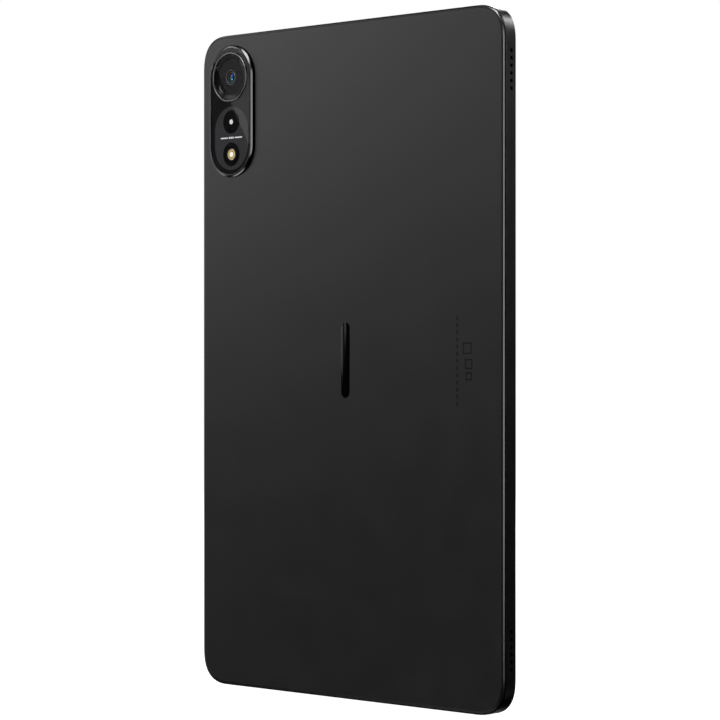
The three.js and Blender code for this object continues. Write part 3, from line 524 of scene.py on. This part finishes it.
def edge_cutters():
    """Slots for the buttons, the tray and the socket, and the microphone holes."""
    power, rocker, tray = (centre_of(n) for n in ("power_button", "volume_rocker", "card_tray"))
    around = 2 * BUTTON_GAP
    power_length = width_height("power_button")[0] - 2 * FLANGE_MARGIN + around
    rocker_length = width_height("volume_rocker")[1] - 2 * FLANGE_MARGIN + around
    rear, front = depths_of("card_tray")
    tray_size = (width_height("card_tray")[1] + 2 * TRAY_GAP, front - rear + 2 * TRAY_GAP)
    tray_middle = (rear + front) / 2
    rear, front = depths_of("socket_shell")
    socket_size = (width_height("socket_shell")[0] + 2 * TRAY_GAP, front - rear + 2 * TRAY_GAP)
    cutters = [
        slot_cutter(power[0], EDGE_PLANE, power_length, CAP_HEIGHT + around, "z", END - 3, END + 2),
        slot_cutter(rocker[1], EDGE_PLANE, rocker_length, CAP_HEIGHT + around, "x", SIDE - 3, SIDE + 2),
        slot_cutter(tray[1], tray_middle, *tray_size, "x", SIDE - 3, SIDE + 2),
        slot_cutter(0, EDGE_PLANE, *socket_size, "z", -END - 2, -END + 3),
    ]
    for microphone, sh in (("microphone_top", 1), ("microphone_bottom", -1)):
        section = round_section(centre_of(microphone)[0], MICROPHONE_HOLE, 20)
        cutters.append(bar(section, "z", sh * (END - 3), sh * (END + 2)))
    return cutters


def make_side_band():
    rear, front = depths_of("side_frame")
    profile = [(0.09, rear), (0.02, rear + 0.03), (0.0, rear + 0.1), (0.0, front - 0.3),
               (0.03, front - 0.14), (0.1, front - 0.04), (0.2, front), (0.45, front),
               (0.45, front - 0.5), (2.6, front - 0.5), (2.6, front - 1.25), (WALL, front - 1.25),
               (WALL, rear)]
    band = loop_loft("side_band", body_outline, profile, [satin_metal])
    cut(band, speaker_cutters() + edge_cutters())
    even_normals(band)
    stands_for(band, "side_frame")


# ------------------------------------------------------------ buttons
def edge_cap(name, length, low, high, axis, centre):
    """A capsule cap standing out of an edge, with softened outer rim, as one lofted solid."""
    steps = [(0.0, low), (0.0, high - 0.18), (0.04, high - 0.08), (0.11, high - 0.02), (0.2, high)]
    verts, faces = [], []
    for inset, level in steps:
        for u, v in capsule(length - 2 * inset, CAP_HEIGHT - 2 * inset, steps=12):
            along, deep = centre + u, EDGE_PLANE + v
            verts.append(at(level, deep, along) if axis == "x" else at(along, deep, level))
    count = len(verts) // len(steps)
    faces.append(tuple(range(count)))
    faces.append(tuple(reversed(range(len(verts) - count, len(verts)))))
    for band in range(len(steps) - 1):
        for i in range(count):
            a, b = band * count + i, band * count + (i + 1) % count
            faces.append((b, a, a + count, b + count))
    return new_piece(name, verts, faces, [satin_metal], sharp=40)


def make_buttons():
    top = (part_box("power_button")[1].z - MID_Z) / MM
    length = width_height("power_button")[0] - 2 * FLANGE_MARGIN
    cap = edge_cap("power_cap", length, END - 2.1, top, "z", centre_of("power_button")[0])
    stands_for(cap, "power_button", body="power_key")
    low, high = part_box("volume_rocker")
    length = width_height("volume_rocker")[1] - 2 * FLANGE_MARGIN
    cap = edge_cap("volume_cap", length, low.x / MM, high.x / MM, "x", centre_of("volume_rocker")[1])
    stands_for(cap, "volume_rocker", body="volume_key")


# ------------------------------------------------------------ front
def make_front_glass():
    rear, front = depths_of("cover_glass")
    profile = [(0.6, rear), (0.6, front - 0.36), (0.63, front - 0.24), (0.72, front - 0.14),
               (0.88, front - 0.06), (1.1, front - 0.015), (1.3, front)]
    pane = loft("front_pane", body_outline, profile, [front_glass], sharp=32)
    even_normals(pane)
    stands_for(pane, "cover_glass")


# ------------------------------------------------------------ camera island
def round_cutter(centre, radius, steps):
    return plate("cutter", [capsule(2 * radius, 2 * radius, centre, steps)], -THROUGH, THROUGH, [])


def make_island():
    rim = [(0.0, -0.05), (0.0, -1.46), (0.03, -1.52), (0.1, -1.57), (0.35, -1.72), (0.6, -1.85),
           (0.82, -1.95), (0.98, -2.01), (1.08, -2.03), (1.15, -2.01), (1.2, -1.92),
           (1.2, -0.9), (2.2, -0.9), (2.2, 0.8), (1.3, 0.8), (1.3, -0.05)]
    # Band slots: the outer wall (bands 0 and 1) is near-black, painted shade on the same metal rim. The
    # inner wall (band 10) is in the lighter inlay grey, painted light where the lamps do not reach. The
    # crest is trim metal.
    bands = [1, 1, 0, 0, 0, 0, 0, 0, 0, 0, 2, 1, 1, 1, 1, 1]
    looks = [trim_metal, rim_wall_painted_shade, inlay_grey]
    ring = loop_loft("island_rim", island_outline, rim, looks, bands, sharp=40)
    lets_light_past(ring)
    stands_for(ring, "island_frame")
    pane_edge = [(1.7, -2.05), (1.5, -2.05), (1.3, -2.03), (1.25, -1.97), (1.25, -1.45)]
    pane = loft("island_pane", island_outline, pane_edge, [smoked_glass])
    cut(pane, [round_cutter(LENS, TRIM_RADIUS + 0.1, 32)])
    even_normals(pane)
    stands_for(pane, "island_glass")
    base = plate("island_base", [island_outline(1.25)], *depths_of("island_plate"), [plate_black])
    cut(base, [round_cutter(LENS, TRIM_RADIUS - 0.65, 32), round_cutter(FLASH, FLASH_HOLE, 16)])
    stands_for(base, "island_plate")
    rear, front = depths_of("inlay_plate")
    width, height = width_height("inlay_plate")
    inlay = plate("inlay_capsule", [capsule(width, height, INLAY)], rear, front, [inlay_grey])
    cut(inlay, [round_cutter(FLASH, FLASH_HOLE, 16)])
    stands_for(inlay, "inlay_plate")
    rear, front = depths_of("indicator_disc")
    disc = width_height("indicator_disc")[0]
    stands_for(plate("indicator_window", [capsule(disc, disc, INDICATOR, 24)], rear, front,
                     [disc_black]), "indicator_disc")
    ring = [(FLASH_HOLE, rear), (disc / 2, rear), (disc / 2, front), (FLASH_HOLE, front)]
    stands_for(turned("flash_window", FLASH, ring, [disc_black]), "flash_disc")


def make_marks():
    rear = depths_of("indicator_disc")[0]
    # The white dot and the row marks carry a painted glow.
    dot = capsule(2.1, 2.1, INDICATOR, 12)
    detail(plate("disc_dot", [dot], rear - 0.02, rear, [white_mark_painted_glow]))
    row_h = (INDICATOR[1] + FLASH[1]) / 2 + 0.15
    inlay_rear = depths_of("inlay_plate")[0]
    lines = [capsule(4.6, 0.5, (INLAY[0] + offset, row_h), 8) for offset in (-4.4, 4.4)]
    lines += [capsule(0.9, 0.9, (INLAY[0] + offset, row_h), 8) for offset in (-1.1, 0.0, 1.1)]
    detail(plate("row_marks", lines, inlay_rear - 0.02, inlay_rear, [white_mark_painted_glow]))


def frame_outline(centre, side, line):
    """A small square drawn as four strips."""
    x, h = centre
    mid = (side - line) / 2
    strips = [(x, h + mid, side, line), (x, h - mid, side, line),
              (x + mid, h, line, side - 2 * line), (x - mid, h, line, side - 2 * line)]
    return [[(cx + w / 2, ch + t / 2), (cx - w / 2, ch + t / 2), (cx - w / 2, ch - t / 2),
             (cx + w / 2, ch - t / 2)] for cx, ch, w, t in strips]


def make_rear_print():
    """A faint dashed line and three plain squares, dark on the dark cover."""
    line_x, top, bottom, dashes = -61.9, 18.0, -18.7, 13
    step = (top - bottom) / dashes
    shapes = [capsule(0.75, step * 0.62, (line_x, top - (i + 0.5) * step), 6) for i in range(dashes)]
    for x, h, side in ((-67.2, 4.6, 4.6), (-68.0, -1.6, 4.0), (-68.0, -6.4, 3.2)):
        shapes += frame_outline((x, h), side, 0.55)
    detail(plate("rear_print", shapes, -0.012, 0.0, [mark_dark]))


def make_flash():
    rear, front = depths_of("flash_led")
    rings = [(0, rear + 0.12), (0.5, rear + 0.12), (0.7, rear + 0.03), (1.1, rear + 0.1),
             (1.3, rear + 0.02), (1.75, rear + 0.08), (1.95, rear + 0.01), (2.35, rear),
             (2.35, front), (0, front)]
    # All faces of the flash lamp glow with a fixed emission: painted highlight, the flash being off.
    bands = [0, 0, 0, 1, 1, 1, 1, 0, 0]
    stands_for(turned("flash_lamp", FLASH, rings, [phosphor, phosphor_deep_painted_glow], 12, 20, bands), "flash_led")


def make_lens():
    seat = -1.2
    trim = [(9.9, seat), (10.65, seat), (10.65, -2.2), (10.6, -2.33), (10.47, -2.43), (10.3, -2.49),
            (10.15, -2.5), (10.0, -2.46), (9.92, -2.38), (9.9, -2.3)]
    ring = turned("lens_ring", LENS, trim, [edge_metal], sharp=40)
    lets_light_past(ring)
    stands_for(ring, "lens_trim_ring")
    cone = [(9.8, -2.05), (9.0, -1.84), (8.2, -1.58), (7.7, -1.4), (7.7, -1.1), (9.8, -1.75)]
    stands_for(turned("lens_funnel", LENS, cone, [cone_black]), "lens_cone")
    pane = [(0, -2.35), (9.3, -2.35), (9.5, -2.35), (9.7, -2.32), (9.8, -2.26), (9.8, -2.1), (0, -2.1)]
    stands_for(turned("lens_pane", LENS, pane, [lens_glass]), "lens_cover_glass")
    mask = [(3.4, -1.35), (7.6, -1.35), (7.6, -1.15), (3.4, -1.15)]
    stands_for(turned("lens_disc", LENS, mask, [lens_black]), "lens_mask")
    barrel = [(2.0, -0.85), (2.0, -1.05), (2.05, -1.14), (2.2, -1.16), (2.35, -1.1), (2.85, -1.3),
              (2.95, -1.42), (3.1, -1.47), (3.25, -1.44), (3.3, -1.38), (3.3, -0.85)]
    bands = [0, 1, 1, 1, 0, 1, 1, 1, 1, 0, 0]
    tube = turned("lens_tube", LENS, barrel, [lens_black, ring_metal], sharp=25, band_slots=bands)
    stands_for(tube, "lens_barrel")
    dome = [(0, -0.98), (0.5, -0.965), (1.0, -0.91), (1.45, -0.81), (1.75, -0.68), (1.9, -0.52),
            (1.9, -0.2), (0, -0.2)]
    stands_for(turned("lens_element", LENS, dome, [gloss_black], 64), "front_element")
    # Two small glowing domes over the front element: painted glints in blue and cyan, not a real part.
    glint = [(0, -1.04), (0.25, -1.03), (0.42, -0.98), (0.5, -0.9), (0, -0.9)]
    for name, lift, look in (("painted_glint_upper", 0.72, painted_glint_blue), ("painted_glint_lower", -0.78, painted_glint_cyan)):
        detail(turned(name, (LENS[0], LENS[1] + lift), glint, [look], 24))


make_rear_cover()
make_badge()
make_seal()
make_side_band()
make_buttons()
make_front_glass()
make_island()
make_marks()
make_rear_print()
make_flash()
make_lens()


# ------------------------------------------------------------ floor, light and camera
def make_floor():
    mesh = bpy.data.meshes.new("floor")
    reach = 40.0
    mesh.from_pydata([(-reach, -reach, 0), (reach, -reach, 0), (reach, reach, 0), (-reach, reach, 0)],
                     [], [(0, 1, 2, 3)])
    floor = bpy.data.objects.new("floor", mesh)
    pale = shader("floor_pale", (0.9, 0.9, 0.9), 0.9)
    surface = pale.node_tree.nodes["Principled BSDF"]
    surface.inputs["Emission Color"].default_value = (1, 1, 1, 1)
    surface.inputs["Emission Strength"].default_value = 1.0
    mesh.materials.append(pale)
    bpy.context.scene.collection.objects.link(floor)
    floor.visible_glossy = False
    floor.visible_diffuse = False
    floor.visible_shadow = False
    floor.location.z = -0.0002


def soft_light(name, azimuth, height, distance, size, power):
    """A rectangular lamp facing the tablet's middle. The azimuth is counted from +X towards +Y
    and the height above the horizon, both in degrees; size is (across, up) in metres."""
    lamp = bpy.data.lights.new(name, "AREA")
    lamp.shape = "RECTANGLE"
    lamp.size, lamp.size_y = size
    lamp.energy = power
    holder = bpy.data.objects.new(name, lamp)
    turn, lift = math.radians(azimuth), math.radians(height)
    towards = Vector((math.cos(turn) * math.cos(lift), math.sin(turn) * math.cos(lift), math.sin(lift)))
    holder.location = Vector((0, 0, MID_Z)) + towards * distance
    holder.rotation_mode = "QUATERNION"
    holder.rotation_quaternion = towards.to_track_quat("Z", "Y")
    holder.visible_camera = False
    bpy.context.scene.collection.objects.link(holder)


def glass_card():
    """A small card whose slanted edge is mirrored across the glass of the camera island."""
    lamp = bpy.data.lights.new("glass_card", "AREA")
    lamp.shape = "RECTANGLE"
    lamp.size, lamp.size_y = 0.12, 0.2
    lamp.energy = 0.075
    card = bpy.data.objects.new("glass_card", lamp)
    slant, lean = Vector((0.5085, 0, 0.861)), Vector((-0.861, 0, 0.5085))
    middle = Vector((0.922, REAR_Y + 0.8, MID_Z + 0.218)) + lean * lamp.size / 2
    turn = Matrix((lean, slant, lean.cross(slant))).transposed()
    card.matrix_world = Matrix.Translation(middle) @ turn.to_4x4()
    card.visible_camera = False
    bpy.context.scene.collection.objects.link(card)


def make_lights():
    soft_light("rear_top", 32, 36, 1.3, (0.62, 0.3), 0.55)
    soft_light("rear_high", 36, 20, 1.3, (0.45, 0.35), 0.62)
    soft_light("rear_middle", 24, 8, 1.3, (0.45, 0.35), 0.6)
    soft_light("rear_low", 14, -14, 1.3, (0.45, 0.35), 0.28)
    soft_light("edge_strip", 99, 5, 1.3, (0.62, 0.68), 1.3)
    soft_light("corner_high", 74, 40, 1.3, (0.5, 0.6), 2.8)
    soft_light("corner_low", 54, -36, 1.3, (0.75, 0.24), 0.65)
    soft_light("side_high", 225, 44, 1.5, (0.36, 0.36), 2.1)
    soft_light("side_bright", 255, 32, 1.5, (0.36, 0.36), 6.2)
    soft_light("side_middle", 240, 32, 1.5, (0.36, 0.36), 0.6)
    soft_light("side_low", 205, 14, 1.5, (0.36, 0.36), 1.9)
    soft_light("front_high", 305, 27, 1.5, (0.5, 0.5), 8.0)
    soft_light("screen_sheen", 225, -27, 1.5, (0.5, 0.4), 0.05)
    glass_card()


def make_world():
    """White to the camera. To the tablet it is dark, with a soft glow from the front right."""
    world = bpy.data.worlds.new("studio")
    world.use_nodes = True
    bpy.context.scene.world = world
    tree = world.node_tree
    back = tree.nodes["Background"]
    back.inputs["Color"].default_value = (1, 1, 1, 1)
    place = tree.nodes.new("ShaderNodeTexCoord")
    toward = tree.nodes.new("ShaderNodeVectorMath")
    toward.operation = "DOT_PRODUCT"
    toward.inputs[1].default_value = (0.8, -0.6, 0)
    spread = tree.nodes.new("ShaderNodeMapRange")
    spread.interpolation_type = "SMOOTHSTEP"
    spread.inputs["From Min"].default_value = 0.5
    spread.inputs["To Min"].default_value = 0.004
    spread.inputs["To Max"].default_value = 0.4
    glow = tree.nodes.new("ShaderNodeBackground")
    path = tree.nodes.new("ShaderNodeLightPath")
    mix = tree.nodes.new("ShaderNodeMixShader")
    tree.links.new(place.outputs["Generated"], toward.inputs[0])
    tree.links.new(toward.outputs["Value"], spread.inputs["Value"])
    tree.links.new(spread.outputs["Result"], glow.inputs["Strength"])
    tree.links.new(path.outputs["Is Camera Ray"], mix.inputs[0])
    tree.links.new(glow.outputs["Background"], mix.inputs[1])
    tree.links.new(back.outputs["Background"], mix.inputs[2])
    tree.links.new(mix.outputs["Shader"], tree.nodes["World Output"].inputs["Surface"])


def make_camera():
    data = bpy.data.cameras.new("camera")
    data.sensor_width = 36
    data.lens = 136.2
    camera = bpy.data.objects.new("camera", data)
    sight = Vector((0.6988, -0.7153, 0)).normalized()
    camera.location = Vector((-0.78505, REAR_Y + 0.79505, MID_Z))
    camera.rotation_mode = "QUATERNION"
    camera.rotation_quaternion = sight.to_track_quat("-Z", "Y")
    data.clip_start, data.clip_end = 0.01, 100
    bpy.context.scene.collection.objects.link(camera)
    bpy.context.scene.camera = camera


make_floor()
make_lights()
make_world()
make_camera()
bpy.context.scene.view_settings.view_transform = "Standard"
